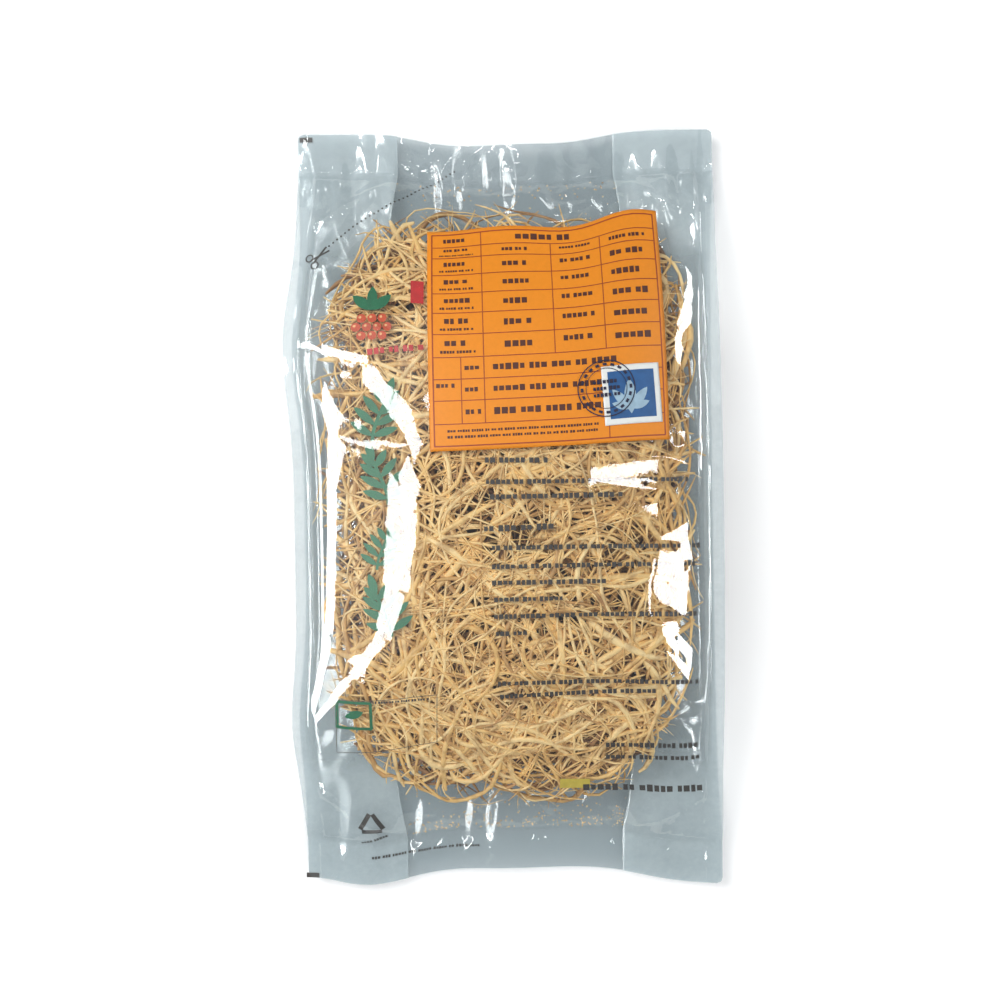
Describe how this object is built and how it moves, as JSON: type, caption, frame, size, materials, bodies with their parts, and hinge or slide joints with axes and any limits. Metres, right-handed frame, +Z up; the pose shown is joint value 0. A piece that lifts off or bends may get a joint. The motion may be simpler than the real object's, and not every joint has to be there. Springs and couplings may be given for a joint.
{
  "type": "clear bag of dried ginseng fine roots",
  "caption": "Sealed clear side-gusset bag lying on its back, packed with a tangle of dried ginseng fine roots, with a paper label and a small stamp.",
  "frame": {"origin": "on the surface the bag lies on, under the middle of its outline", "axes": "+Y along the bag to its top seal, +X to the right across its front, +Z up out of its front"},
  "size_m": [0.2, 0.365, 0.0625],
  "materials": {
    "film": "clear glossy film with a faint grey tint, creased along its seals",
    "root": "dry, wrinkled root skin, pale gold to tan, darker in the gaps",
    "label_paper": "orange sticker paper, smooth, printed with a dark ruled grid",
    "stamp_paper": "blue sticker paper with a white edge, smooth"
  },
  "bodies": {
    "root": {"film_front": "film", "film_back": "film", "gusset_left": "film", "gusset_right": "film", "root_tangle": "root", "label": "label_paper", "inspection_stamp": "stamp_paper"}
  },
  "joints": []
}
